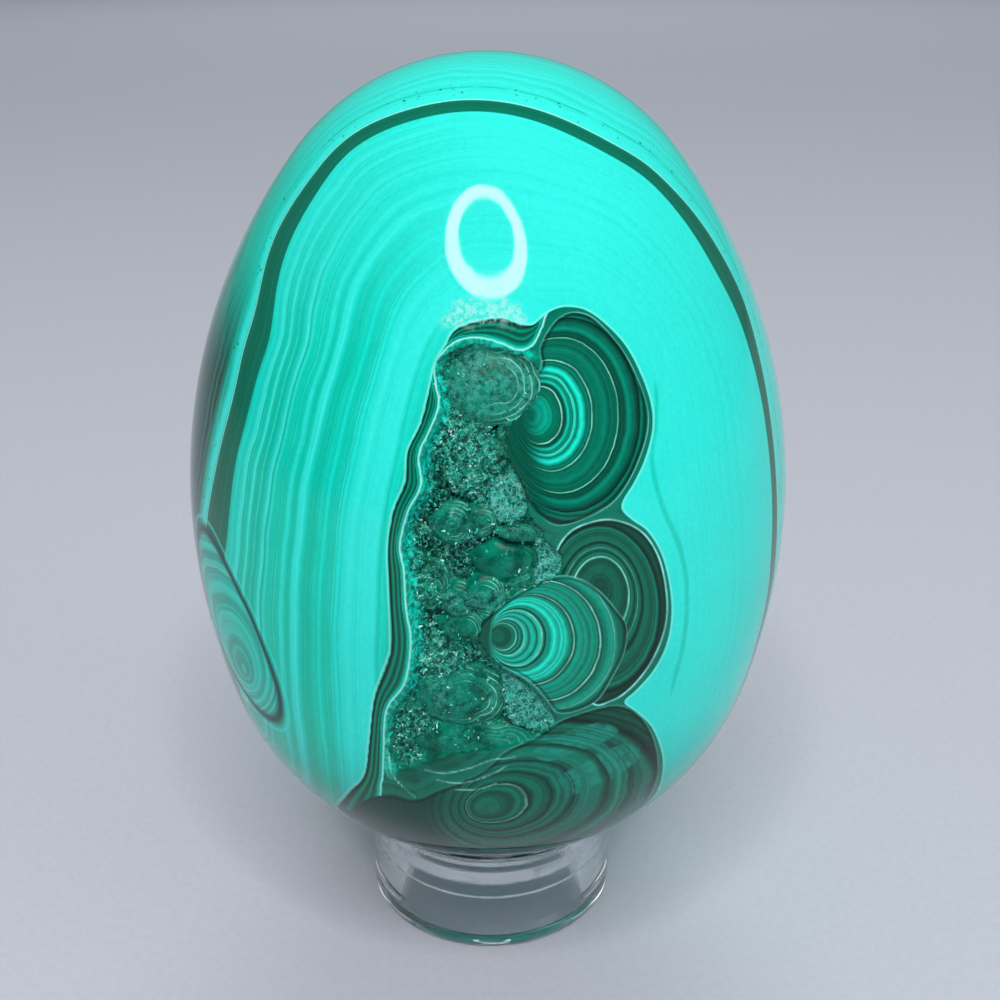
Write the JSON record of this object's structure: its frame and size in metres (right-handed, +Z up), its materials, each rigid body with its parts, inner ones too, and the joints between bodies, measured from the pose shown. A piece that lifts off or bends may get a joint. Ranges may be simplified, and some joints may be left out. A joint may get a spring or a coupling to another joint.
{
  "type": "decorative egg on stand",
  "caption": "Polished banded-stone egg with a shallow natural pocket of rounded growths, standing in a low clear ring that it lifts out of.",
  "frame": {"origin": "on the ground at the middle of the ring, under the egg's lower tip", "axes": "+Z up through both tips of the egg, -Y towards the viewer of the front, where the pocket is"},
  "size_m": [0.0558, 0.0559, 0.085],
  "materials": {
    "banded_stone": "polished, with a natural matt pocket",
    "clear_acrylic": "clear, polished"
  },
  "bodies": {
    "stand": {"stand_ring": "clear_acrylic"},
    "egg_body": {"egg": "banded_stone"}
  },
  "joints": [
    {"name": "egg_lift", "type": "slide", "parent": "stand", "child": "egg_body", "axis": [0, 0, 1], "range_m": [0, 0.04]}
  ]
}
